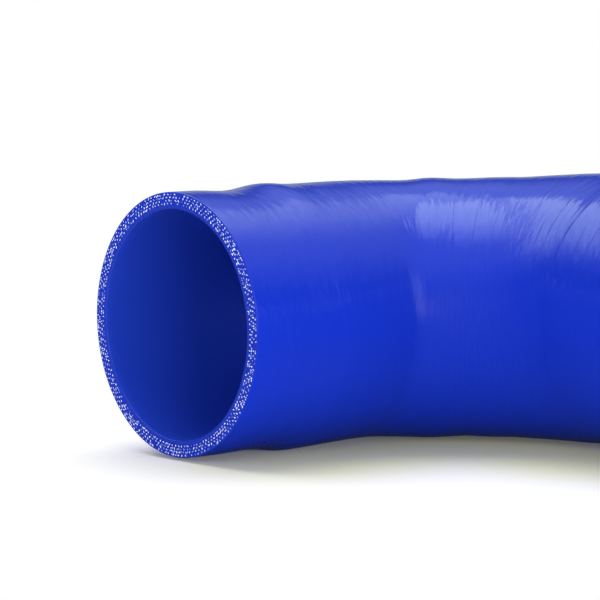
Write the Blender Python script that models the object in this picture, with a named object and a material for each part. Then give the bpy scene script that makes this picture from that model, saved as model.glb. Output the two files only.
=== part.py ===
"""Moulded silicone induction hose: a 76 mm mouth, a tight elbow, a long sweep and an 80 mm outlet.

The hose is laid up over a polished steel mandrel. A silicone liner, plies of knitted fabric and a cover
are rolled on, wrapped in nylon tape and cured as one piece, and both ends are then trimmed square.
The bore is therefore as smooth as the mandrel, and the skin rises and falls with the plies under it.

Metres, +Z up. The hose lies on its side on the floor, with its origin under the middle of its box.
The mouth opens towards -X and the outlet towards -Y.
"""

from math import cos, exp, pi, radians, sin

import bmesh
import bpy
from mathutils import Vector

# Bores and wall
MOUTH_BORE = 0.076
OUTLET_BORE = 0.080
WALL = 0.0055
RIM_ROUND = 0.0004

# Mandrel: straight mouth leg, tight elbow, long sweep, straight outlet leg
MOUTH_LEG = 0.067
ELBOW_THROAT = 0.0025  # radius left at the skin on the inside of the elbow
ELBOW_TURN = radians(32.0)
SWEEP_RADIUS = 0.090
SWEEP_TURN = radians(58.0)
OUTLET_LEG = 0.100

# Swells and necks that the plies leave in the skin. Each is a ring round the hose: the place that it is
# measured from, how far past that place its middle lies, its half length along the hose, and how far the
# skin rises there at the crown and at the underside.
SWELLS = (
    ("mouth", 0.0230, 0.0085, -0.00065, -0.00065),
    ("mouth", 0.0385, 0.0060, 0.00080, 0.00045),
    ("mouth", 0.0450, 0.0110, 0.00020, 0.00075),
    ("elbow", -0.0030, 0.0300, 0.00050, 0.00000),
    ("elbow", 0.0095, 0.0120, 0.00020, -0.00060),
    ("elbow", 0.0350, 0.0065, 0.00065, 0.00025),
    ("elbow", 0.0490, 0.0060, -0.00005, -0.00035),
    ("elbow", 0.0660, 0.0080, -0.00020, -0.00025),
    ("elbow", 0.0800, 0.0300, 0.00015, -0.00025),
    ("elbow", 0.0930, 0.0120, 0.00060, 0.00030),
    ("elbow", 0.1250, 0.0300, 0.00015, -0.00100),
    ("outlet", -0.0230, 0.0085, -0.00060, -0.00060),
)

# Facets
SIDES = 60
MOUTH_LEG_STEPS = 20
ELBOW_STEPS = 8
SWEEP_STEPS = 20
OUTLET_LEG_STEPS = 16
RIM_SEGMENTS = 2


def mouth_radius():
    """Outer radius of the hose at its mouth."""
    return MOUTH_BORE / 2 + WALL


def elbow_radius():
    """Radius of the elbow's centre line: the skin on its inside keeps the throat radius."""
    return mouth_radius() + ELBOW_THROAT


def section_ends():
    """Distance along the centre line from the mouth to each named place."""
    elbow = MOUTH_LEG
    sweep = elbow + elbow_radius() * ELBOW_TURN
    leg = sweep + SWEEP_RADIUS * SWEEP_TURN
    return {"mouth": 0.0, "elbow": elbow, "sweep": sweep, "leg": leg, "outlet": leg + OUTLET_LEG}


def stations(leg_steps, elbow_steps, sweep_steps, outlet_steps):
    """Places for the rings: (distance along the centre line, centre, heading), from mouth to outlet.

    The heading is the angle that the centre line has turned through, clockwise from +X seen from above.
    """
    travelled, centre, heading = 0.0, Vector((0.0, 0.0, 0.0)), 0.0
    found = [(travelled, centre.copy(), heading)]

    def go_straight(length, steps):
        nonlocal travelled
        for _ in range(steps):
            centre.x += length / steps * cos(heading)
            centre.y -= length / steps * sin(heading)
            travelled += length / steps
            found.append((travelled, centre.copy(), heading))

    def go_round(radius, turn, steps):
        nonlocal travelled, heading
        for _ in range(steps):
            after = heading + turn / steps
            centre.x += radius * (sin(after) - sin(heading))
            centre.y += radius * (cos(after) - cos(heading))
            heading = after
            travelled += radius * turn / steps
            found.append((travelled, centre.copy(), heading))

    go_straight(MOUTH_LEG, leg_steps)
    go_round(elbow_radius(), ELBOW_TURN, elbow_steps)
    go_round(SWEEP_RADIUS, SWEEP_TURN, sweep_steps)
    go_straight(OUTLET_LEG, outlet_steps)
    return found


def bore_radius(distance):
    """The mandrel grows from the mouth's bore to the outlet's along the sweep."""
    ends = section_ends()
    share = (distance - ends["sweep"]) / (ends["leg"] - ends["sweep"])
    share = min(1.0, max(0.0, share))
    return (MOUTH_BORE + (OUTLET_BORE - MOUTH_BORE) * share) / 2


def skin_rise(distance, angle):
    """How far the skin stands above the plain wall, at an angle that runs from the outside of the
    bend over the crown. It dies away at the cut ends, which are trimmed to size."""
    ends = section_ends()
    height = sin(angle)
    rise = 0.0
    for place, offset, half_length, crown, underside in SWELLS:
        along = (distance - ends[place] - offset) / half_length
        rise += ((crown + underside) / 2 + (crown - underside) / 2 * height) * exp(-along * along)
    return rise


def skin_radius(distance, angle):
    return bore_radius(distance) + WALL + skin_rise(distance, angle)


def add_ring(shape, place, radius_at):
    """One ring of vertices square to the centre line, at its own radius at each angle. The middle of
    the ring stands a plain radius above the floor, so the taper lies flat underneath."""
    distance, centre, heading = place
    outward = Vector((sin(heading), cos(heading), 0.0))
    upward = Vector((0.0, 0.0, 1.0))
    centre = centre + (bore_radius(distance) + WALL) * upward
    ring = []
    for side in range(SIDES):
        angle = 2 * pi * side / SIDES
        radius = radius_at(distance, angle)
        ring.append(shape.verts.new(centre + radius * (outward * cos(angle) + upward * sin(angle))))
    return ring


def join_rings(shape, here, there):
    """A band of four-sided faces between two rings."""
    for side in range(SIDES):
        after = (side + 1) % SIDES
        shape.faces.new((here[side], here[after], there[after], there[side]))


def add_tube(shape, places, radius_at):
    """The wall surface through a row of rings. Returns its first and last ring."""
    rings = [add_ring(shape, place, radius_at) for place in places]
    for here, there in zip(rings, rings[1:]):
        join_rings(shape, here, there)
    return rings[0], rings[-1]


def rim_edges(*rings):
    """The edges that run round each of these rings."""
    found = []
    for ring in rings:
        corners = set(ring)
        round_it = {edge for corner in ring for edge in corner.link_edges}
        found += [edge for edge in round_it if set(edge.verts) <= corners]
    return found


def moulded_hose():
    """The whole hose as one closed wall: outer skin, bore and the two trimmed ends."""
    shape = bmesh.new()
    skin_places = stations(MOUTH_LEG_STEPS, ELBOW_STEPS, SWEEP_STEPS, OUTLET_LEG_STEPS)
    bore_places = stations(1, ELBOW_STEPS, SWEEP_STEPS // 2, 1)
    skin_mouth, skin_outlet = add_tube(shape, skin_places, skin_radius)
    bore_mouth, bore_outlet = add_tube(shape, bore_places, lambda distance, angle: bore_radius(distance))
    join_rings(shape, skin_mouth, bore_mouth)
    join_rings(shape, skin_outlet, bore_outlet)
    bmesh.ops.recalc_face_normals(shape, faces=shape.faces)
    bmesh.ops.bevel(
        shape,
        geom=rim_edges(skin_mouth, bore_mouth, skin_outlet, bore_outlet),
        offset=RIM_ROUND,
        segments=RIM_SEGMENTS,
        profile=0.5,
        affect="EDGES",
    )
    return shape


def rest_on_floor(shape):
    """Puts the origin on the floor, under the middle of the hose's box."""
    low = Vector([min(v.co[axis] for v in shape.verts) for axis in range(3)])
    high = Vector([max(v.co[axis] for v in shape.verts) for axis in range(3)])
    middle = (low + high) / 2
    bmesh.ops.translate(shape, verts=shape.verts, vec=-Vector((middle.x, middle.y, low.z)))


def blue_silicone():
    """High-gloss pigmented silicone rubber, as it leaves the cure under smooth tape."""
    material = bpy.data.materials.new("blue_silicone")
    material.use_nodes = True
    shader = material.node_tree.nodes["Principled BSDF"]
    shader.inputs["Base Color"].default_value = (0.008, 0.032, 0.55, 1.0)
    shader.inputs["Roughness"].default_value = 0.35
    shader.inputs["Metallic"].default_value = 0.0
    return material


def build():
    for old in list(bpy.data.objects):
        bpy.data.objects.remove(old)
    shape = moulded_hose()
    rest_on_floor(shape)
    mesh = bpy.data.meshes.new("induction_hose")
    shape.to_mesh(mesh)
    shape.free()
    mesh.shade_smooth()
    mesh.set_sharp_from_angle(angle=radians(35))
    mesh.materials.append(blue_silicone())
    hose = bpy.data.objects.new("induction_hose", mesh)
    bpy.context.scene.collection.objects.link(hose)


build()
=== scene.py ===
"""An induction hose of blue silicone, cut square at both ends and laid on a pale studio floor."""

from math import cos, exp, pi, radians, sin, tau

import bpy
import numpy as np
from mathutils import Matrix, Vector


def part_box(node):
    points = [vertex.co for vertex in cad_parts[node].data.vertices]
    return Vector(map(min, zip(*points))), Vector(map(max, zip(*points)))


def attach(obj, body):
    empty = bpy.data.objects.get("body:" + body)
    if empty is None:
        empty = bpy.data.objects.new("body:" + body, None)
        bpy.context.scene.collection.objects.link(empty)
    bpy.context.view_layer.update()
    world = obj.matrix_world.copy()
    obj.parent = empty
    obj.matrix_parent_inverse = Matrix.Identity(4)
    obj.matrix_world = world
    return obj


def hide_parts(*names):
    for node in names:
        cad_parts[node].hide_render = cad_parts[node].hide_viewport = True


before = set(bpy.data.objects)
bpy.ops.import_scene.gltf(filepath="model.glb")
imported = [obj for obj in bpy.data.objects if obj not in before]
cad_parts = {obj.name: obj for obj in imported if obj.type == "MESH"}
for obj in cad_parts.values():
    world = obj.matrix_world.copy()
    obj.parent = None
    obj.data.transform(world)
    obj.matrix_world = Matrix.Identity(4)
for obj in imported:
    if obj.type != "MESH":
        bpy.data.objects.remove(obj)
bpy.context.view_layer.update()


# Hose wall
# One piece of silicone: a smooth liner, four knitted plies and a cover, rolled on a polished steel
# mandrel, wrapped tightly in nylon tape and cured. The tape's edges leave fine spiral lines in the skin,
# the plies under it leave soft swells, and a knife trims both ends square.

MOUTH_BORE = 0.076
OUTLET_BORE = 0.080
WALL = 0.0055
RIM_ROUND = 0.0003
MOUTH_LEG = 0.06516
ELBOW_RADIUS = 0.052
ELBOW_TURN = radians(32.0)
SWEEP_RADIUS = 0.0869
SWEEP_TURN = radians(58.0)
OUTLET_LEG = 0.10157

SWEEP_START = MOUTH_LEG + ELBOW_RADIUS * ELBOW_TURN
OUTLET_LEG_START = SWEEP_START + SWEEP_RADIUS * SWEEP_TURN
LENGTH = OUTLET_LEG_START + OUTLET_LEG

# Swells and necks in the skin: middle, half length, rise at the crown and rise at the underside
SWELLS = (
    (0.0230, 0.0085, -0.00065, -0.00065),
    (0.0385, 0.0060, 0.00080, 0.00045),
    (0.0450, 0.0110, 0.00020, 0.00068),
    (0.0640, 0.0300, 0.00050, 0.00000),
    (0.0765, 0.0120, 0.00020, -0.00060),
    (0.1020, 0.0065, 0.00065, 0.00025),
    (0.1160, 0.0060, -0.00005, -0.00035),
    (0.1330, 0.0080, -0.00020, -0.00025),
    (0.1470, 0.0300, 0.00015, -0.00025),
    (0.1600, 0.0120, 0.00053, 0.00022),
    (0.1920, 0.0300, 0.00015, -0.00100),
    (LENGTH - 0.0230, 0.0085, -0.00060, -0.00060),
)

# Where each turn of the tape laps the turn before it, high on the inside of the bend
TAPE_LAPS = (
    0.0, 0.0105, 0.0205, 0.0310, 0.0405, 0.0515, 0.0620, 0.0745, 0.0860, 0.0985, 0.1110, 0.1225,
    0.1335, 0.1413, 0.1530, 0.1690, 0.1830, 0.1960, 0.2100, 0.2215, 0.2345, 0.2470, 0.2590, 0.2710, 0.2840,
)
LAP_ANGLE = radians(125.0)
TAPE_PITCH = 0.012
TAPE_EDGE_WIDTH = 0.0006
TAPE_EDGE_RISE = 0.00002
RIPPLE_RISE = 0.00024
RIPPLES_PER_METRE = 60.0
TRIM_FADE = 0.012

SKIN_STEP = 0.0005
BORE_STEP = 0.004
FACE_STEPS = 5
RIM_STEPS = 3
SIDES = 124


def add_node(tree, kind, settings=None, inputs=None):
    """Adds a node with its settings. An input takes a value, another node's output or another node,
    which then gives its first output."""
    node = tree.nodes.new(kind)
    for name, value in (settings or {}).items():
        setattr(node, name, value)
    for place, value in (inputs or {}).items():
        if isinstance(value, bpy.types.Node):
            value = value.outputs[0]
        if isinstance(value, bpy.types.NodeSocket):
            tree.links.new(value, node.inputs[place])
        else:
            node.inputs[place].default_value = value
    return node


def hex_colour(text):
    """An sRGB hex colour as the linear values that a shader takes."""
    parts = [int(text[i : i + 2], 16) / 255 for i in (1, 3, 5)]
    linear = [c / 12.92 if c <= 0.04045 else ((c + 0.055) / 1.055) ** 2.4 for c in parts]
    return (*linear, 1.0)


def new_material(name):
    """An empty material, its tree and its output node."""
    material = bpy.data.materials.new(name)
    material.use_nodes = True
    material.node_tree.nodes.clear()
    output = material.node_tree.nodes.new("ShaderNodeOutputMaterial")
    return material, material.node_tree, output


def centre_line(along):
    """The middle of the bore at a distance from the mouth, and the heading there, clockwise from +X."""
    elbow = min(max(along - MOUTH_LEG, 0.0) / ELBOW_RADIUS, ELBOW_TURN)
    sweep = min(max(along - SWEEP_START, 0.0) / SWEEP_RADIUS, SWEEP_TURN)
    leg = max(along - OUTLET_LEG_START, 0.0)
    heading = elbow + sweep
    x = min(along, MOUTH_LEG) + ELBOW_RADIUS * sin(elbow) + SWEEP_RADIUS * (sin(heading) - sin(elbow))
    y = ELBOW_RADIUS * (cos(elbow) - 1) + SWEEP_RADIUS * (cos(heading) - cos(elbow))
    return x + leg * cos(heading), y - leg * sin(heading), heading


def bore_radius(along):
    """The mandrel grows from the mouth's bore to the outlet's along the sweep."""
    share = (along - SWEEP_START) / (OUTLET_LEG_START - SWEEP_START)
    share = min(max(share, 0.0), 1.0)
    return (MOUTH_BORE + (OUTLET_BORE - MOUTH_BORE) * share) / 2


def skin_rise(along, side):
    """How far the swells lift the skin at a distance from the mouth, at the crown (2) or underside (3)."""
    return sum(swell[side] * exp(-(((along - swell[0]) / swell[1]) ** 2)) for swell in SWELLS)


def wall_outline():
    """The cut through one side of the wall, a closed loop of (distance from the mouth, height over the
    bore)."""
    skin_count = round(LENGTH / SKIN_STEP)
    bore_count = round(LENGTH / BORE_STEP)
    skin = [(i * LENGTH / skin_count, WALL) for i in range(1, skin_count)]
    bore = [(i * LENGTH / bore_count, 0.0) for i in range(bore_count - 1, 0, -1)]
    quarter = [i * pi / 2 / RIM_STEPS for i in range(RIM_STEPS + 1)]
    r = RIM_ROUND
    outlet_outer = [(LENGTH - r + r * sin(a), WALL - r + r * cos(a)) for a in quarter]
    outlet_inner = [(LENGTH - r + r * cos(a), r - r * sin(a)) for a in quarter]
    mouth_inner = [(r - r * sin(a), r - r * cos(a)) for a in quarter]
    mouth_outer = [(r - r * cos(a), WALL - r + r * sin(a)) for a in quarter]
    face = [r + (WALL - 2 * r) * i / FACE_STEPS for i in range(1, FACE_STEPS)]
    outlet_face = [(LENGTH, height) for height in reversed(face)]
    mouth_face = [(0.0, height) for height in face]
    skin = [p for p in skin if r < p[0] < LENGTH - r]
    bore = [p for p in bore if r < p[0] < LENGTH - r]
    return skin + outlet_outer + outlet_face + outlet_inner + bore + mouth_inner + mouth_face + mouth_outer


def outline_mesh():
    """The outline as a loop of edges. Each point carries what the tree needs to place it round the hose."""
    points = wall_outline()
    mesh = bpy.data.meshes.new("wall_outline")
    edges = [(i, (i + 1) % len(points)) for i in range(len(points))]
    mesh.from_pydata([(along, height, 0.0) for along, height in points], edges, [])
    numbers = {"along": [], "height": [], "plain_radius": [], "swell": [], "swing": [], "fine": [], "lap": []}
    vectors = {"centre": [], "outward": []}
    for along, height in points:
        x, y, heading = centre_line(along)
        share = height / WALL
        crown, underside = skin_rise(along, 2), skin_rise(along, 3)
        from_end = min(along, LENGTH - along) / TRIM_FADE
        numbers["along"].append(along)
        numbers["height"].append(height)
        numbers["plain_radius"].append(bore_radius(along) + height)
        numbers["swell"].append(share * (crown + underside) / 2)
        numbers["swing"].append(share * (crown - underside) / 2)
        numbers["fine"].append(share * min(1.0, from_end))
        numbers["lap"].append(float(np.interp(along, TAPE_LAPS, range(len(TAPE_LAPS)))) - LAP_ANGLE / tau)
        vectors["centre"].append((x, y, bore_radius(along) + WALL))
        vectors["outward"].append((sin(heading), cos(heading), 0.0))
    for name, values in numbers.items():
        mesh.attributes.new(name, "FLOAT", "POINT").data.foreach_set("value", values)
    for name, values in vectors.items():
        mesh.attributes.new(name, "FLOAT_VECTOR", "POINT").data.foreach_set("vector", np.ravel(values))
    return mesh


def set_input(modifier, name, value):
    """Sets a modifier's named input by its socket's identifier."""
    for item in modifier.node_group.interface.items_tree:
        if item.item_type == "SOCKET" and item.in_out == "INPUT" and item.name == name:
            modifier[item.identifier] = value


def new_tree(name, sizes, materials):
    """A Geometry Nodes tree with a geometry in and out, number inputs and material inputs."""
    tree = bpy.data.node_groups.new(name, "GeometryNodeTree")
    tree.interface.new_socket("Geometry", in_out="INPUT", socket_type="NodeSocketGeometry")
    for size in sizes:
        tree.interface.new_socket(size, in_out="INPUT", socket_type="NodeSocketFloat")
    for material in materials:
        tree.interface.new_socket(material, in_out="INPUT", socket_type="NodeSocketMaterial")
    tree.interface.new_socket("Geometry", in_out="OUTPUT", socket_type="NodeSocketGeometry")
    return tree, tree.nodes.new("NodeGroupInput"), tree.nodes.new("NodeGroupOutput")


def hose_tree():
    """Spins the wall's outline round the centre line and raises its swells, ripples and tape edges."""
    sizes = ("Sides", "Tape edge share", "Tape edge rise", "Ripple rise", "Ripples per metre")
    tree, given, result = new_tree("hose_wall", sizes, ("Cut face", "Skin", "Bore"))
    sides, edge_share, edge_rise, ripple_rise, per_metre = (given.outputs[size] for size in sizes)
    read = {}
    single = ("along", "height", "plain_radius", "swell", "swing", "fine", "lap", "angle")
    kinds = dict.fromkeys(single, "FLOAT")
    kinds |= dict.fromkeys(("centre", "outward"), "FLOAT_VECTOR")
    for name, kind in kinds.items():
        read[name] = add_node(tree, "GeometryNodeInputNamedAttribute", {"data_type": kind}, {"Name": name})

    # The ring counts its angle from the underside, so the seam of the pattern lies on the floor
    profile = add_node(tree, "GeometryNodeMeshToCurve", inputs={0: given.outputs["Geometry"]})
    ring = add_node(tree, "GeometryNodeCurvePrimitiveCircle", inputs={"Resolution": sides})
    index = add_node(tree, "GeometryNodeInputIndex")
    share = add_node(tree, "ShaderNodeMath", {"operation": "DIVIDE"}, {0: index, 1: sides})
    turned = add_node(tree, "ShaderNodeMath", {"operation": "MULTIPLY_ADD"}, {0: share, 1: tau, 2: -pi / 2})
    kept = add_node(
        tree, "GeometryNodeStoreNamedAttribute", {"domain": "POINT"},
        {"Geometry": ring.outputs["Curve"], "Name": "angle", "Value": turned},
    )
    swept = add_node(tree, "GeometryNodeCurveToMesh", inputs={"Curve": kept, "Profile Curve": profile})
    sideways = add_node(tree, "ShaderNodeMath", {"operation": "COSINE"}, {0: read["angle"]})
    upwards = add_node(tree, "ShaderNodeMath", {"operation": "SINE"}, {0: read["angle"]})

    # Swells, which the tape held down inside the bend, soft ripples and the raised edges of the tape
    whole_swell = add_node(
        tree, "ShaderNodeMath", {"operation": "MULTIPLY_ADD"},
        {0: read["swing"], 1: upwards, 2: read["swell"]},
    )
    held = add_node(
        tree, "ShaderNodeMapRange", {"interpolation_type": "SMOOTHSTEP"},
        {"Value": sideways, "From Min": -0.05, "From Max": -0.65, "To Min": 1.0, "To Max": 0.25},
    )
    swell = add_node(tree, "ShaderNodeMath", {"operation": "MULTIPLY"}, {0: whole_swell, 1: held})
    down_hose = add_node(tree, "ShaderNodeMath", {"operation": "MULTIPLY"}, {0: read["along"], 1: per_metre})
    spot = add_node(tree, "ShaderNodeCombineXYZ", inputs={0: sideways, 1: upwards, 2: down_hose})
    noise = add_node(
        tree, "ShaderNodeTexNoise", inputs={"Vector": spot, "Scale": 1.3, "Detail": 2.0, "Roughness": 0.45}
    )
    swing = add_node(tree, "ShaderNodeMath", {"operation": "SUBTRACT"}, {0: noise, 1: 0.5})
    lap = add_node(
        tree, "ShaderNodeMath", {"operation": "MULTIPLY_ADD"}, {0: read["angle"], 1: 1 / tau, 2: read["lap"]}
    )
    off = add_node(tree, "ShaderNodeMath", {"operation": "PINGPONG"}, {0: lap, 1: 0.5})
    edge = add_node(
        tree, "ShaderNodeMapRange", {"interpolation_type": "SMOOTHSTEP"},
        {"Value": off, "From Min": 0.0, "From Max": edge_share, "To Min": edge_rise, "To Max": 0.0},
    )
    fine = add_node(
        tree, "ShaderNodeMath", {"operation": "MULTIPLY_ADD"}, {0: swing, 1: ripple_rise, 2: edge}
    )
    lift = add_node(
        tree, "ShaderNodeMath", {"operation": "MULTIPLY_ADD"}, {0: fine, 1: read["fine"], 2: swell}
    )
    radius = add_node(tree, "ShaderNodeMath", {"operation": "ADD"}, {0: read["plain_radius"], 1: lift})

    # Each point's place from the centre line
    out = add_node(tree, "ShaderNodeMath", {"operation": "MULTIPLY"}, {0: radius, 1: sideways})
    up = add_node(tree, "ShaderNodeMath", {"operation": "MULTIPLY"}, {0: radius, 1: upwards})
    above = add_node(tree, "ShaderNodeCombineXYZ", inputs={2: up})
    off_line = add_node(
        tree, "ShaderNodeVectorMath", {"operation": "MULTIPLY_ADD"}, {0: read["outward"], 1: out, 2: above}
    )
    place = add_node(tree, "ShaderNodeVectorMath", {"operation": "ADD"}, {0: read["centre"], 1: off_line})
    shaped = add_node(tree, "GeometryNodeSetPosition", inputs={"Geometry": swept, "Position": place})
    smooth = add_node(tree, "GeometryNodeSetShadeSmooth", inputs={0: shaped})

    # The cut face first, then the skin and the bore over it
    outside = add_node(
        tree, "ShaderNodeMath", {"operation": "GREATER_THAN"}, {0: read["height"], 1: WALL - 0.7 * RIM_ROUND}
    )
    inside = add_node(
        tree, "ShaderNodeMath", {"operation": "LESS_THAN"}, {0: read["height"], 1: 0.5 * RIM_ROUND}
    )
    wall = add_node(tree, "GeometryNodeRealizeInstances", inputs={0: smooth})
    for name, where in (("Cut face", True), ("Skin", outside), ("Bore", inside)):
        wall = add_node(
            tree, "GeometryNodeSetMaterial",
            inputs={0: wall, "Selection": where, "Material": given.outputs[name]},
        )
    tree.links.new(wall.outputs[0], result.inputs[0])
    return tree


def cured_skin():
    """Glossy silicone cover as it leaves the cure under smooth tape: a deep blue, a clear sheen with a
    ragged edge where the tape creased, fine streaks round the hose and a hairline at each lap, darkened with
    painted shade."""
    material, tree, output = new_material("glossy_silicone_skin")
    wrap = add_node(tree, "ShaderNodeUVMap", {"uv_map": "wrap"})
    parts = add_node(tree, "ShaderNodeSeparateXYZ", inputs={0: wrap})
    place = add_node(tree, "ShaderNodeAttribute", {"attribute_name": "lap"})

    # A hairline at each lap, a groove with painted shade in it, clear only high on the inside of the bend,
    # where the sheen lies, and faint before the sweep
    lap = add_node(
        tree, "ShaderNodeMath", {"operation": "ADD"}, {0: parts.outputs[0], 1: place.outputs["Fac"]}
    )
    off = add_node(tree, "ShaderNodeMath", {"operation": "PINGPONG"}, {0: lap, 1: 0.5})
    line = add_node(
        tree, "ShaderNodeMapRange", {"interpolation_type": "SMOOTHSTEP"},
        {"Value": off, "From Min": 0.0, "From Max": 0.00024 / TAPE_PITCH, "To Min": 1.0, "To Max": 0.0},
    )
    sweep_share = add_node(
        tree, "ShaderNodeMapRange", {"interpolation_type": "SMOOTHSTEP"},
        {"Value": parts.outputs[1], "From Min": 0.09, "From Max": 0.12, "To Min": 0.1, "To Max": 1.0},
    )
    high = add_node(
        tree, "ShaderNodeMapRange", {"interpolation_type": "SMOOTHSTEP"},
        {"Value": parts.outputs[0], "From Min": 0.27, "From Max": 0.31},
    )
    low = add_node(
        tree, "ShaderNodeMapRange", {"interpolation_type": "SMOOTHSTEP"},
        {"Value": parts.outputs[0], "From Min": 0.45, "From Max": 0.36},
    )
    sheen_band = add_node(tree, "ShaderNodeMath", {"operation": "MULTIPLY"}, {0: high, 1: low})
    clear = add_node(tree, "ShaderNodeMath", {"operation": "MULTIPLY_ADD"}, {0: sheen_band, 1: 0.92, 2: 0.08})
    clear = add_node(tree, "ShaderNodeMath", {"operation": "MULTIPLY"}, {0: clear, 1: sweep_share})
    hairline = add_node(tree, "ShaderNodeMath", {"operation": "MULTIPLY"}, {0: line, 1: clear})

    # Streaks that run round the hose, 1 to 3 mm apart, and a speckle of 0.8 mm
    angle = add_node(tree, "ShaderNodeMath", {"operation": "MULTIPLY"}, {0: parts.outputs[0], 1: tau})
    sideways = add_node(tree, "ShaderNodeMath", {"operation": "COSINE"}, {0: angle})
    upwards = add_node(tree, "ShaderNodeMath", {"operation": "SINE"}, {0: angle})
    down_hose = add_node(tree, "ShaderNodeMath", {"operation": "MULTIPLY"}, {0: parts.outputs[1], 1: 450.0})
    spot = add_node(tree, "ShaderNodeCombineXYZ", inputs={0: sideways, 1: upwards, 2: down_hose})
    streaks = add_node(tree, "ShaderNodeTexNoise", inputs={"Vector": spot, "Scale": 1.0, "Detail": 3.0})
    crease_spot = add_node(
        tree, "ShaderNodeVectorMath", {"operation": "MULTIPLY"}, {0: spot, 1: (7.0, 7.0, 0.9)}
    )
    creases = add_node(
        tree, "ShaderNodeTexNoise", inputs={"Vector": crease_spot, "Scale": 1.0, "Detail": 1.0}
    )
    places = add_node(tree, "ShaderNodeTexCoord")
    speckle = add_node(
        tree, "ShaderNodeTexNoise",
        inputs={"Vector": places.outputs["Object"], "Scale": 1250.0, "Detail": 2.0},
    )
    cloud = add_node(
        tree, "ShaderNodeTexNoise", inputs={"Vector": places.outputs["Object"], "Scale": 45.0, "Detail": 3.0}
    )
    rough = add_node(
        tree, "ShaderNodeMapRange",
        inputs={"Value": cloud, "From Min": 0.3, "From Max": 0.7, "To Min": 0.12, "To Max": 0.19},
    )
    fine = add_node(tree, "ShaderNodeBump", inputs={"Strength": 1.0, "Distance": 0.000008, "Height": speckle})
    streaked = add_node(
        tree, "ShaderNodeBump",
        inputs={"Strength": 1.0, "Distance": 0.00005, "Height": streaks, "Normal": fine},
    )
    creased = add_node(
        tree, "ShaderNodeBump",
        inputs={"Strength": 1.0, "Distance": 0.00017, "Height": creases, "Normal": streaked},
    )
    lapped = add_node(
        tree, "ShaderNodeBump",
        {"invert": True}, {"Strength": 1.0, "Distance": 0.00004, "Height": hairline, "Normal": creased},
    )
    # Painted shade: the colour darkens along each lap hairline, inside the sheen band
    painted_lap_shade = add_node(tree, "ShaderNodeMath", {"operation": "MULTIPLY"}, {0: hairline, 1: 0.5})
    colour = add_node(
        tree, "ShaderNodeMix", {"data_type": "RGBA"},
        {"Factor": painted_lap_shade, 6: hex_colour("#122eb1"), 7: hex_colour("#08197f")},
    )
    shader = add_node(
        tree, "ShaderNodeBsdfPrincipled",
        inputs={
            "Base Color": colour.outputs[2],
            "Roughness": rough,
            "IOR": 1.44,
            "Normal": lapped,
        },
    )
    tree.links.new(shader.outputs[0], output.inputs[0])
    return material


def mandrel_bore():
    """Silicone liner that cured against polished steel: even, smooth and a little darker than the skin."""
    material, tree, output = new_material("smooth_silicone_bore")
    places = add_node(tree, "ShaderNodeTexCoord")
    cloud = add_node(
        tree, "ShaderNodeTexNoise", inputs={"Vector": places.outputs["Object"], "Scale": 70.0, "Detail": 2.0}
    )
    rough = add_node(
        tree, "ShaderNodeMapRange",
        inputs={"Value": cloud, "From Min": 0.3, "From Max": 0.7, "To Min": 0.36, "To Max": 0.46},
    )
    grain = add_node(
        tree, "ShaderNodeTexNoise", inputs={"Vector": places.outputs["Object"], "Scale": 900.0, "Detail": 2.0}
    )
    bump = add_node(tree, "ShaderNodeBump", inputs={"Strength": 1.0, "Distance": 0.00001, "Height": grain})
    shader = add_node(
        tree, "ShaderNodeBsdfPrincipled",
        inputs={"Base Color": hex_colour("#1c3bb5"), "Roughness": rough, "IOR": 1.41, "Normal": bump},
    )
    tree.links.new(shader.outputs[0], output.inputs[0])
    return material


def cut_silicone():
    """Silicone cut with a knife, so it is matt. A paler liner lies inside, a deep blue fills the fabric
    between the yarn ends, and the cover is a thin dark line outside."""
    material, tree, output = new_material("knife_cut_silicone")
    level = add_node(tree, "ShaderNodeAttribute", {"attribute_name": "height"})
    places = add_node(tree, "ShaderNodeTexCoord")
    grain = add_node(
        tree, "ShaderNodeTexNoise",
        inputs={"Vector": places.outputs["Object"], "Scale": 1100.0, "Detail": 3.0},
    )
    wave = add_node(tree, "ShaderNodeMath", {"operation": "SUBTRACT"}, {0: grain, 1: 0.5})
    shaken = add_node(
        tree, "ShaderNodeMath", {"operation": "MULTIPLY_ADD"}, {0: wave, 1: 0.0004, 2: level.outputs["Fac"]}
    )
    share = add_node(tree, "ShaderNodeMath", {"operation": "DIVIDE"}, {0: shaken, 1: WALL})
    bands = add_node(tree, "ShaderNodeValToRGB", inputs={0: share})
    stops = (
        (0.0, "#0e2496"), (0.06, "#142da8"), (0.16, "#1833ab"), (0.26, "#112aa0"),
        (0.36, "#112daa"), (0.86, "#112daa"), (0.93, "#1633b4"), (1.0, "#081874"),
    )
    ramp = bands.color_ramp.elements
    while len(ramp) < len(stops):
        ramp.new(1.0)
    for element, (place, colour) in zip(ramp, stops):
        element.position = place
        element.color = hex_colour(colour)
    bump = add_node(tree, "ShaderNodeBump", inputs={"Strength": 1.0, "Distance": 0.00008, "Height": grain})
    shader = add_node(
        tree, "ShaderNodeBsdfPrincipled",
        inputs={
            "Base Color": bands,
            "Roughness": 0.55,
            "IOR": 1.41,
            "Specular IOR Level": 0.15,
            "Normal": bump,
        },
    )
    tree.links.new(shader.outputs[0], output.inputs[0])
    return material


def baked(piece, name):
    """Turns what the piece's modifiers make into its plain mesh."""
    bpy.context.view_layer.update()
    graph = bpy.context.evaluated_depsgraph_get()
    mesh = bpy.data.meshes.new_from_object(piece.evaluated_get(graph))
    mesh.name = name
    piece.modifiers.clear()
    piece.data = mesh
    return mesh


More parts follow.
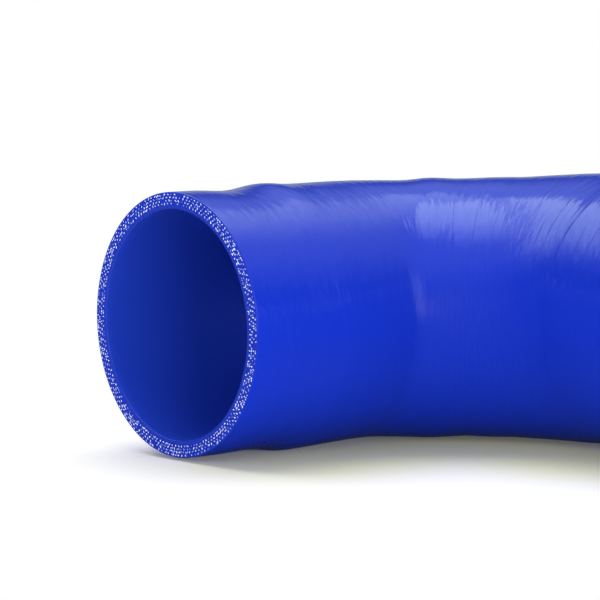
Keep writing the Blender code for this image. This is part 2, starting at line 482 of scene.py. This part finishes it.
def add_wrap_map(mesh):
    """A UV map named wrap: U is the share of a turn round the hose and V is metres from the mouth."""
    angle = np.zeros(len(mesh.vertices), np.float32)
    along = np.zeros(len(mesh.vertices), np.float32)
    mesh.attributes["angle"].data.foreach_get("value", angle)
    mesh.attributes["along"].data.foreach_get("value", along)
    corner = np.zeros(len(mesh.loops), np.int32)
    mesh.loops.foreach_get("vertex_index", corner)
    turns = (angle[corner] / tau).reshape(-1, 4)
    crosses = turns.max(axis=1, keepdims=True) - turns.min(axis=1, keepdims=True) > 0.5
    turns = np.where(crosses & (turns < 0.25), turns + 1.0, turns)
    spread = np.stack([turns.ravel(), along[corner]], axis=1)
    mesh.uv_layers.new(name="wrap").data.foreach_set("uv", spread.ravel().astype(np.float32))


hose = bpy.data.objects.new("silicone_hose", outline_mesh())
bpy.context.scene.collection.objects.link(hose)
sweep = hose.modifiers.new("hose_wall", "NODES")
sweep.node_group = hose_tree()
for name, value in (
    ("Sides", float(SIDES)),
    ("Tape edge share", TAPE_EDGE_WIDTH / TAPE_PITCH),
    ("Tape edge rise", TAPE_EDGE_RISE),
    ("Ripple rise", RIPPLE_RISE),
    ("Ripples per metre", RIPPLES_PER_METRE),
    ("Cut face", cut_silicone()),
    ("Skin", cured_skin()),
    ("Bore", mandrel_bore()),
):
    set_input(sweep, name, value)
hose_mesh = baked(hose, "silicone_hose")
add_wrap_map(hose_mesh)

# The hose lies in the middle of the CAD's box, so that its yarn ends stay inside the box, and on the floor
cad_low, cad_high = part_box("induction_hose")
corners = np.zeros(len(hose_mesh.vertices) * 3, np.float32)
hose_mesh.vertices.foreach_get("co", corners)
hose_low = corners.reshape(-1, 3).min(axis=0)
hose_high = corners.reshape(-1, 3).max(axis=0)
hose_shift = Vector([
    (cad_low[axis] + cad_high[axis] - float(hose_low[axis] + hose_high[axis])) / 2 for axis in range(3)
])
hose_shift.z = cad_low.z - float(hose_low[2])
hose_mesh.transform(Matrix.Translation(hose_shift))

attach(hose, "root")
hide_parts("induction_hose")


# Yarn ends
# Four plies of knitted polyester lie in the wall. The knife that trims the hose cuts their loops, so each
# end face shows rows of pale yarn ends, single dots, slanted dashes and bent pairs, set in the silicone.

PLIES = 4
PLY_PITCH = 0.00100
OUTER_PLY_DEPTH = 0.00080
SECOND_END_DEPTH = 0.00014
LOST_SHARE = 0.05
SINGLE_SHARE = 0.75
LOOPS_ROUND = 148
YARN_END_LENGTH = 0.00086
YARN_END_WIDTH = 0.00042
YARN_END_PROUD = 0.00006


def yarn_tree():
    """Lays the cut ends on a flat ring, ply by ply and loop by loop, with up to two ends to a loop."""
    sizes = (
        "Skin radius", "Outer ply depth", "Ply pitch", "Plies", "Loops round", "End length", "End width",
        "Proud",
    )
    tree, given, result = new_tree("yarn_ends", sizes + ("Seed",), ("Yarn",))
    skin, outer_depth, pitch, plies, loops, length, width, proud = (given.outputs[size] for size in sizes)

    # Random numbers, one for each use: jitter round the ring and into the wall, loss, second end, tint,
    # slant, length and width
    chance = {}
    for number, (use, low, high) in enumerate((
        ("round", -0.12, 0.12), ("deep", -0.00006, 0.00006), ("lost", 0.0, 1.0), ("second", 0.0, 1.0),
        ("tint", 0.0, 1.0), ("slant", -0.7, 0.7), ("long", 0.6, 1.25), ("wide", 0.8, 1.2),
    )):
        seed = add_node(
            tree, "ShaderNodeMath", {"operation": "ADD"}, {0: given.outputs["Seed"], 1: float(number)}
        )
        draw = add_node(
            tree, "FunctionNodeRandomValue", {"data_type": "FLOAT"}, {2: low, 3: high, "Seed": seed}
        )
        chance[use] = draw.outputs[1]

    # Each point counts its end, loop and ply from its index
    per_ply = add_node(tree, "ShaderNodeMath", {"operation": "MULTIPLY"}, {0: loops, 1: 2.0})
    total = add_node(tree, "ShaderNodeMath", {"operation": "MULTIPLY"}, {0: per_ply, 1: plies})
    points = add_node(tree, "GeometryNodePoints", inputs={"Count": total})
    index = add_node(tree, "GeometryNodeInputIndex")
    end = add_node(tree, "ShaderNodeMath", {"operation": "MODULO"}, {0: index, 1: 2.0})
    pair = add_node(tree, "ShaderNodeMath", {"operation": "DIVIDE"}, {0: index, 1: 2.0})
    loop = add_node(tree, "ShaderNodeMath", {"operation": "FLOOR"}, {0: pair})
    ply_share = add_node(tree, "ShaderNodeMath", {"operation": "DIVIDE"}, {0: index, 1: per_ply})
    ply = add_node(tree, "ShaderNodeMath", {"operation": "FLOOR"}, {0: ply_share})

    # Plies are staggered, and the second end of a loop lies beside the first and a little deeper
    staggered = add_node(tree, "ShaderNodeMath", {"operation": "MULTIPLY_ADD"}, {0: ply, 1: 0.37, 2: loop})
    beside = add_node(tree, "ShaderNodeMath", {"operation": "MULTIPLY_ADD"}, {0: end, 1: 0.4, 2: staggered})
    shaken = add_node(tree, "ShaderNodeMath", {"operation": "ADD"}, {0: beside, 1: chance["round"]})
    turns = add_node(tree, "ShaderNodeMath", {"operation": "DIVIDE"}, {0: shaken, 1: loops})
    angle = add_node(tree, "ShaderNodeMath", {"operation": "MULTIPLY"}, {0: turns, 1: tau})
    ply_depth = add_node(
        tree, "ShaderNodeMath", {"operation": "MULTIPLY_ADD"}, {0: ply, 1: pitch, 2: outer_depth}
    )
    end_depth = add_node(
        tree, "ShaderNodeMath", {"operation": "MULTIPLY_ADD"}, {0: end, 1: SECOND_END_DEPTH, 2: ply_depth}
    )
    depth = add_node(tree, "ShaderNodeMath", {"operation": "ADD"}, {0: end_depth, 1: chance["deep"]})
    radius = add_node(tree, "ShaderNodeMath", {"operation": "SUBTRACT"}, {0: skin, 1: depth})
    from_axis = add_node(tree, "ShaderNodeCombineXYZ", inputs={0: radius})
    place = add_node(
        tree, "ShaderNodeVectorRotate", {"rotation_type": "Z_AXIS"}, {"Vector": from_axis, "Angle": angle}
    )
    placed = add_node(tree, "GeometryNodeSetPosition", inputs={"Geometry": points, "Position": place})

    # Some ends are lost under smeared silicone, and three loops out of four show only one
    lost = add_node(tree, "ShaderNodeMath", {"operation": "LESS_THAN"}, {0: chance["lost"], 1: LOST_SHARE})
    kept_single = add_node(tree, "ShaderNodeMath", {"operation": "MULTIPLY"}, {0: end, 1: SINGLE_SHARE})
    bare = add_node(tree, "ShaderNodeMath", {"operation": "LESS_THAN"}, {0: chance["second"], 1: kept_single})
    unseen = add_node(tree, "ShaderNodeMath", {"operation": "MAXIMUM"}, {0: lost, 1: bare})
    left = add_node(
        tree, "GeometryNodeDeleteGeometry", {"domain": "POINT"}, {"Geometry": placed, "Selection": unseen}
    )
    tinted = add_node(
        tree, "GeometryNodeStoreNamedAttribute", {"domain": "POINT"},
        {"Geometry": left, "Name": "tint", "Value": chance["tint"]},
    )

    # The end of a yarn is a small round-ended pill that slants this way or that in its face
    slant = add_node(
        tree, "ShaderNodeMath", {"operation": "MULTIPLY_ADD"}, {0: end, 1: 1.2, 2: chance["slant"]}
    )
    across = add_node(tree, "ShaderNodeMath", {"operation": "ADD"}, {0: angle, 1: pi / 2})
    heading = add_node(tree, "ShaderNodeMath", {"operation": "ADD"}, {0: across, 1: slant})
    turn = add_node(tree, "ShaderNodeCombineXYZ", inputs={2: heading})
    end_length = add_node(tree, "ShaderNodeMath", {"operation": "MULTIPLY"}, {0: length, 1: chance["long"]})
    end_width = add_node(tree, "ShaderNodeMath", {"operation": "MULTIPLY"}, {0: width, 1: chance["wide"]})
    thickness = add_node(tree, "ShaderNodeMath", {"operation": "MULTIPLY"}, {0: proud, 1: 2.0})
    size = add_node(tree, "ShaderNodeCombineXYZ", inputs={0: end_length, 1: end_width, 2: thickness})
    pill = add_node(tree, "GeometryNodeMeshUVSphere", inputs={"Segments": 10, "Rings": 5, "Radius": 0.5})
    smooth = add_node(tree, "GeometryNodeSetShadeSmooth", inputs={0: pill})
    ends = add_node(
        tree, "GeometryNodeInstanceOnPoints",
        inputs={"Points": tinted, "Instance": smooth, "Rotation": turn, "Scale": size},
    )
    whole = add_node(tree, "GeometryNodeRealizeInstances", inputs={0: ends})
    yarn = add_node(tree, "GeometryNodeSetMaterial", inputs={0: whole, "Material": given.outputs["Yarn"]})
    tree.links.new(yarn.outputs[0], result.inputs[0])
    return tree


def polyester_yarn():
    """Cut polyester filaments: matt and nearly white, and bluer where the silicone has soaked in."""
    material, tree, output = new_material("cut_polyester_yarn")
    tint = add_node(tree, "ShaderNodeAttribute", {"attribute_name": "tint"})
    soaked = add_node(tree, "ShaderNodeValToRGB", inputs={0: tint.outputs["Fac"]})
    stops = ((0.0, "#4e66c4"), (0.2, "#96a4cf"), (0.5, "#ccd6f0"), (1.0, "#dbe2f4"))
    ramp = soaked.color_ramp.elements
    while len(ramp) < len(stops):
        ramp.new(1.0)
    for element, (place, colour) in zip(ramp, stops):
        element.position = place
        element.color = hex_colour(colour)
    places = add_node(tree, "ShaderNodeTexCoord")
    fibres = add_node(
        tree, "ShaderNodeTexNoise",
        inputs={"Vector": places.outputs["Object"], "Scale": 6000.0, "Detail": 1.0},
    )
    bump = add_node(tree, "ShaderNodeBump", inputs={"Strength": 1.0, "Distance": 0.00004, "Height": fibres})
    shader = add_node(
        tree, "ShaderNodeBsdfPrincipled",
        inputs={"Base Color": soaked, "Roughness": 0.75, "IOR": 1.5, "Sheen Weight": 0.2, "Normal": bump},
    )
    tree.links.new(shader.outputs[0], output.inputs[0])
    return material


ends_tree = yarn_tree()
yarn = polyester_yarn()
for name, along, bore, outward, seed in (
    ("mouth_yarn_ends", 0.0, MOUTH_BORE, -1.0, 3.0),
    ("outlet_yarn_ends", LENGTH, OUTLET_BORE, 1.0, 43.0),
):
    ends = bpy.data.objects.new(name, bpy.data.meshes.new(name))
    bpy.context.scene.collection.objects.link(ends)
    lay = ends.modifiers.new("yarn_ends", "NODES")
    lay.node_group = ends_tree
    for size, value in (
        ("Skin radius", bore / 2 + WALL),
        ("Outer ply depth", OUTER_PLY_DEPTH),
        ("Ply pitch", PLY_PITCH),
        ("Plies", float(PLIES)),
        ("Loops round", float(LOOPS_ROUND)),
        ("End length", YARN_END_LENGTH),
        ("End width", YARN_END_WIDTH),
        ("Proud", YARN_END_PROUD),
        ("Seed", seed),
        ("Yarn", yarn),
    ):
        set_input(lay, size, value)
    x, y, heading = centre_line(along)
    middle = Vector((x, y, bore / 2 + WALL)) + hose_shift
    faces = outward * Vector((cos(heading), -sin(heading), 0.0))
    turned = faces.to_track_quat("Z", "Y").to_matrix().to_4x4()
    baked(ends, name).transform(Matrix.Translation(middle) @ turned)
    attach(ends, "root")


# Camera
# The photograph's angle: a long lens 1.2 m away looks 5.7 degrees down, 39 degrees off the mouth leg.

CAMERA_HEADING = radians(39.0)
CAMERA_DOWN = radians(5.7)
CAMERA_DISTANCE = 1.2
CAMERA_LENS_PIXELS = 3679.0
PHOTO_PIXELS = 600.0
MOUTH_PIXEL = (174.8, 325.2)
SENSOR = 36.0

behind = Vector((sin(CAMERA_HEADING), cos(CAMERA_HEADING), 0.0))
right = Vector((cos(CAMERA_HEADING), -sin(CAMERA_HEADING), 0.0))
forward = behind * cos(CAMERA_DOWN) - Vector((0.0, 0.0, sin(CAMERA_DOWN)))
up = right.cross(forward)
mouth_centre = Vector((0.0, 0.0, MOUTH_BORE / 2 + WALL)) + hose_shift
mouth_right = (MOUTH_PIXEL[0] - PHOTO_PIXELS / 2) / CAMERA_LENS_PIXELS * CAMERA_DISTANCE
mouth_up = (PHOTO_PIXELS / 2 - MOUTH_PIXEL[1]) / CAMERA_LENS_PIXELS * CAMERA_DISTANCE
stand = mouth_centre - CAMERA_DISTANCE * forward - mouth_right * right - mouth_up * up

camera_data = bpy.data.cameras.new("camera")
camera_data.sensor_width = SENSOR
camera_data.lens = CAMERA_LENS_PIXELS / PHOTO_PIXELS * SENSOR
camera_data.clip_end = 100.0
camera = bpy.data.objects.new("camera", camera_data)
bpy.context.scene.collection.objects.link(camera)
camera.matrix_world = Matrix.Translation(stand) @ Matrix((right, up, -forward)).transposed().to_4x4()
bpy.context.scene.camera = camera


# Floor
# A white table top that keeps the hose's soft shadow and turns to plain white away from it.

FLOOR_HALF = 30.0
FLOOR_GAP = 0.0001
SHADOW_REACH = 0.10
WHITE_REACH = 0.26
OWN_WHITE = 0.06
OUTLET_LEG_X = 0.046
MOUTH_LEG_Y = 0.0715
TABLE_CORNERS = ((-1, -1), (1, -1), (1, 1), (-1, 1))

floor_mesh = bpy.data.meshes.new("floor")
floor_mesh.from_pydata(
    [(x * FLOOR_HALF, y * FLOOR_HALF, cad_low.z - FLOOR_GAP) for x, y in TABLE_CORNERS],
    [],
    [(0, 1, 2, 3)],
)
floor = bpy.data.objects.new("floor", floor_mesh)
bpy.context.scene.collection.objects.link(floor)


def table_top():
    """White laminate. Some of its white is its own, so that the open floor shows as plain white and the
    shadow stays soft, and away from the hose all of it is."""
    material, tree, output = new_material("white_table_top")
    places = add_node(tree, "ShaderNodeTexCoord")
    distance = add_node(tree, "ShaderNodeVectorMath", {"operation": "LENGTH"}, {0: places.outputs["Object"]})
    away = add_node(
        tree, "ShaderNodeMapRange", {"interpolation_type": "SMOOTHSTEP"},
        {
            "Value": distance.outputs["Value"], "From Min": SHADOW_REACH, "From Max": WHITE_REACH,
            "To Min": OWN_WHITE, "To Max": 1.0,
        },
    )
    path = add_node(tree, "ShaderNodeLightPath")
    seen = add_node(
        tree, "ShaderNodeMath", {"operation": "MAXIMUM"},
        {0: path.outputs["Is Camera Ray"], 1: path.outputs["Is Transmission Ray"]},
    )
    plain = add_node(tree, "ShaderNodeMath", {"operation": "MULTIPLY"}, {0: seen, 1: away})

    # Inside the bend the hose throws blue on the table, and a warm tint there keeps the shadow neutral
    parts = add_node(tree, "ShaderNodeSeparateXYZ", inputs={0: places.outputs["Object"]})
    x, y = parts.outputs[0], parts.outputs[1]
    off_outlet_leg = add_node(tree, "ShaderNodeMath", {"operation": "SUBTRACT"}, {0: OUTLET_LEG_X, 1: x})
    off_mouth_leg = add_node(tree, "ShaderNodeMath", {"operation": "SUBTRACT"}, {0: MOUTH_LEG_Y, 1: y})
    inside = add_node(
        tree, "ShaderNodeMath", {"operation": "MINIMUM"}, {0: off_outlet_leg, 1: off_mouth_leg}
    )
    tint = 1.0
    for value, none, full in (
        (inside, 0.0, 0.02), (inside, 0.095, 0.04), (x, -0.12, -0.06), (y, -0.09, -0.02),
    ):
        share = add_node(
            tree, "ShaderNodeMapRange", {"interpolation_type": "SMOOTHSTEP"},
            {"Value": value, "From Min": none, "From Max": full},
        )
        tint = add_node(tree, "ShaderNodeMath", {"operation": "MULTIPLY"}, {0: share, 1: tint})
    surface = add_node(
        tree, "ShaderNodeMix", {"data_type": "RGBA"},
        {"Factor": tint, 6: hex_colour("#f7f7f5"), 7: hex_colour("#f7f7c6")},
    )
    lit = add_node(tree, "ShaderNodeBsdfDiffuse", inputs={"Color": surface.outputs[2]})
    white = add_node(tree, "ShaderNodeEmission", inputs={"Strength": 1.0})
    mix = add_node(tree, "ShaderNodeMixShader", inputs={0: plain, 1: lit, 2: white})
    tree.links.new(mix.outputs[0], output.inputs[0])
    return material


floor_mesh.materials.append(table_top())
floor.visible_glossy = False


# Studio light
# A wide soft box lies flat overhead and behind, a long low one stands at the right, and two broad fills
# stand at the left, to light the cut face, and in front. The gloss shows a dark room with pale windows,
# whose edges end the sheen on the hose.

HOSE_MIDDLE = Vector((0.0, 0.0, 0.045))
ROOM_LIGHT = 0.24
ROOM_GLOSS = 0.02
LOWEST_HEIGHT = 0.05
FRONT_WINDOW = (0.156, -0.988, 0.0)


def soft_box(name, offset, size, radiance):
    """A rectangular light at an offset from the hose (to the right, behind, up), turned to the hose. It
    is meant for the colours alone: the windows of the room stand for it in the gloss."""
    data = bpy.data.lights.new(name, "AREA")
    data.shape = "RECTANGLE"
    data.size, data.size_y = size
    data.energy = radiance * pi * size[0] * size[1]
    light = bpy.data.objects.new(name, data)
    bpy.context.scene.collection.objects.link(light)
    facing = offset[0] * right + offset[1] * behind + Vector((0.0, 0.0, offset[2]))
    light.location = HOSE_MIDDLE + facing
    light.rotation_euler = facing.to_track_quat("Z", "Y").to_euler()
    light.visible_glossy = False
    return light


overhead = soft_box("overhead_soft_box", (-0.30, 0.62, 1.0), (1.7, 1.5), 2.65)
overhead.rotation_euler = (0.0, 0.0, -CAMERA_HEADING)
soft_box("right_soft_box", (0.92, -1.18, 0.18), (1.75, 0.3), 10.0)
soft_box("left_fill", (-1.15, -1.20, 0.40), (1.4, 0.8), 3.1)
soft_box("front_fill", (0.10, -1.60, 0.40), (1.4, 0.8), 2.3)

world = bpy.data.worlds.new("studio")
bpy.context.scene.world = world
world.use_nodes = True
room = world.node_tree
room.nodes.clear()
path = add_node(room, "ShaderNodeLightPath")
toward = add_node(room, "ShaderNodeTexCoord")
parts = add_node(room, "ShaderNodeSeparateXYZ", inputs={0: toward.outputs["Generated"]})
height = parts.outputs[2]
above = add_node(room, "ShaderNodeMath", {"operation": "MAXIMUM"}, {0: height, 1: LOWEST_HEIGHT})
over_x = add_node(room, "ShaderNodeMath", {"operation": "DIVIDE"}, {0: parts.outputs[0], 1: above})
over_y = add_node(room, "ShaderNodeMath", {"operation": "DIVIDE"}, {0: parts.outputs[1], 1: above})
flat = add_node(
    room, "ShaderNodeVectorMath", {"operation": "MULTIPLY"},
    {0: toward.outputs["Generated"], 1: (1.0, 1.0, 0.0)},
)
level = add_node(room, "ShaderNodeVectorMath", {"operation": "NORMALIZE"}, {0: flat})
to_back = add_node(room, "ShaderNodeVectorMath", {"operation": "DOT_PRODUCT"}, {0: level, 1: behind})
to_front = add_node(room, "ShaderNodeVectorMath", {"operation": "DOT_PRODUCT"}, {0: level, 1: FRONT_WINDOW})

# The windows, each with its strength and its soft edges (a direction's value where the window is dark, and
# where it is full): the pale ceiling, the two that make the patches on the second leg, two dim ones at the
# right of them, the back wall, and the front one, which makes the strip beside the throat
radiance = ROOM_GLOSS
for strength, edges in (
    (0.82, ((height, 0.3, 0.8),)),
    (4.0, (
        (over_x, 0.27, 0.23), (over_x, -0.8, -0.05), (over_y, -0.45, 0.1), (over_y, 0.56, 0.42),
        (height, 0.2, 0.45),
    )),
    (2.6, (
        (over_x, 0.27, 0.23), (over_x, -1.25, -0.3), (over_y, 0.50, 0.64), (over_y, 1.75, 0.75),
        (height, 0.2, 0.45),
    )),
    (0.4, (
        (over_x, 0.2, 0.35), (over_x, 1.7, 0.8), (over_y, 0.62, 0.50), (over_y, -0.35, 0.3),
        (height, 0.2, 0.45),
    )),
    (1.1, (
        (over_x, 0.2, 0.30), (over_x, 1.1, 0.45), (over_y, 0.62, 0.50), (over_y, -0.3, 0.2),
        (height, 0.2, 0.45),
    )),
    (0.45, ((to_back.outputs["Value"], 0.35, 0.75), (height, -0.03, 0.03), (height, 0.42, 0.12))),
    (1.4, ((to_front.outputs["Value"], 0.89, 0.975), (height, -0.15, 0.08), (height, 0.66, 0.35))),
):
    for value, none, full in edges:
        edge = add_node(
            room, "ShaderNodeMapRange", {"interpolation_type": "SMOOTHSTEP"},
            {"Value": value, "From Min": none, "From Max": full},
        )
        strength = add_node(room, "ShaderNodeMath", {"operation": "MULTIPLY"}, {0: edge, 1: strength})
    radiance = add_node(room, "ShaderNodeMath", {"operation": "ADD"}, {0: strength, 1: radiance})

# Diffuse rays see an even room, glossy rays the windows, and the camera plain white
indirect = add_node(
    room, "ShaderNodeMix", inputs={0: path.outputs["Is Glossy Ray"], 2: ROOM_LIGHT, 3: radiance}
)
direct = add_node(
    room, "ShaderNodeMath", {"operation": "MAXIMUM"},
    {0: path.outputs["Is Camera Ray"], 1: path.outputs["Is Transmission Ray"]},
)
strength = add_node(room, "ShaderNodeMix", inputs={0: direct, 2: indirect, 3: 1.0})
colour = add_node(
    room, "ShaderNodeMix", {"data_type": "RGBA"},
    {"Factor": path.outputs["Is Glossy Ray"], 6: hex_colour("#ffffff"), 7: hex_colour("#eefff0")},
)
surround = add_node(room, "ShaderNodeBackground", inputs={"Color": colour.outputs[2], "Strength": strength})
add_node(room, "ShaderNodeOutputWorld", inputs={"Surface": surround})

bpy.context.scene.view_settings.view_transform = "Standard"
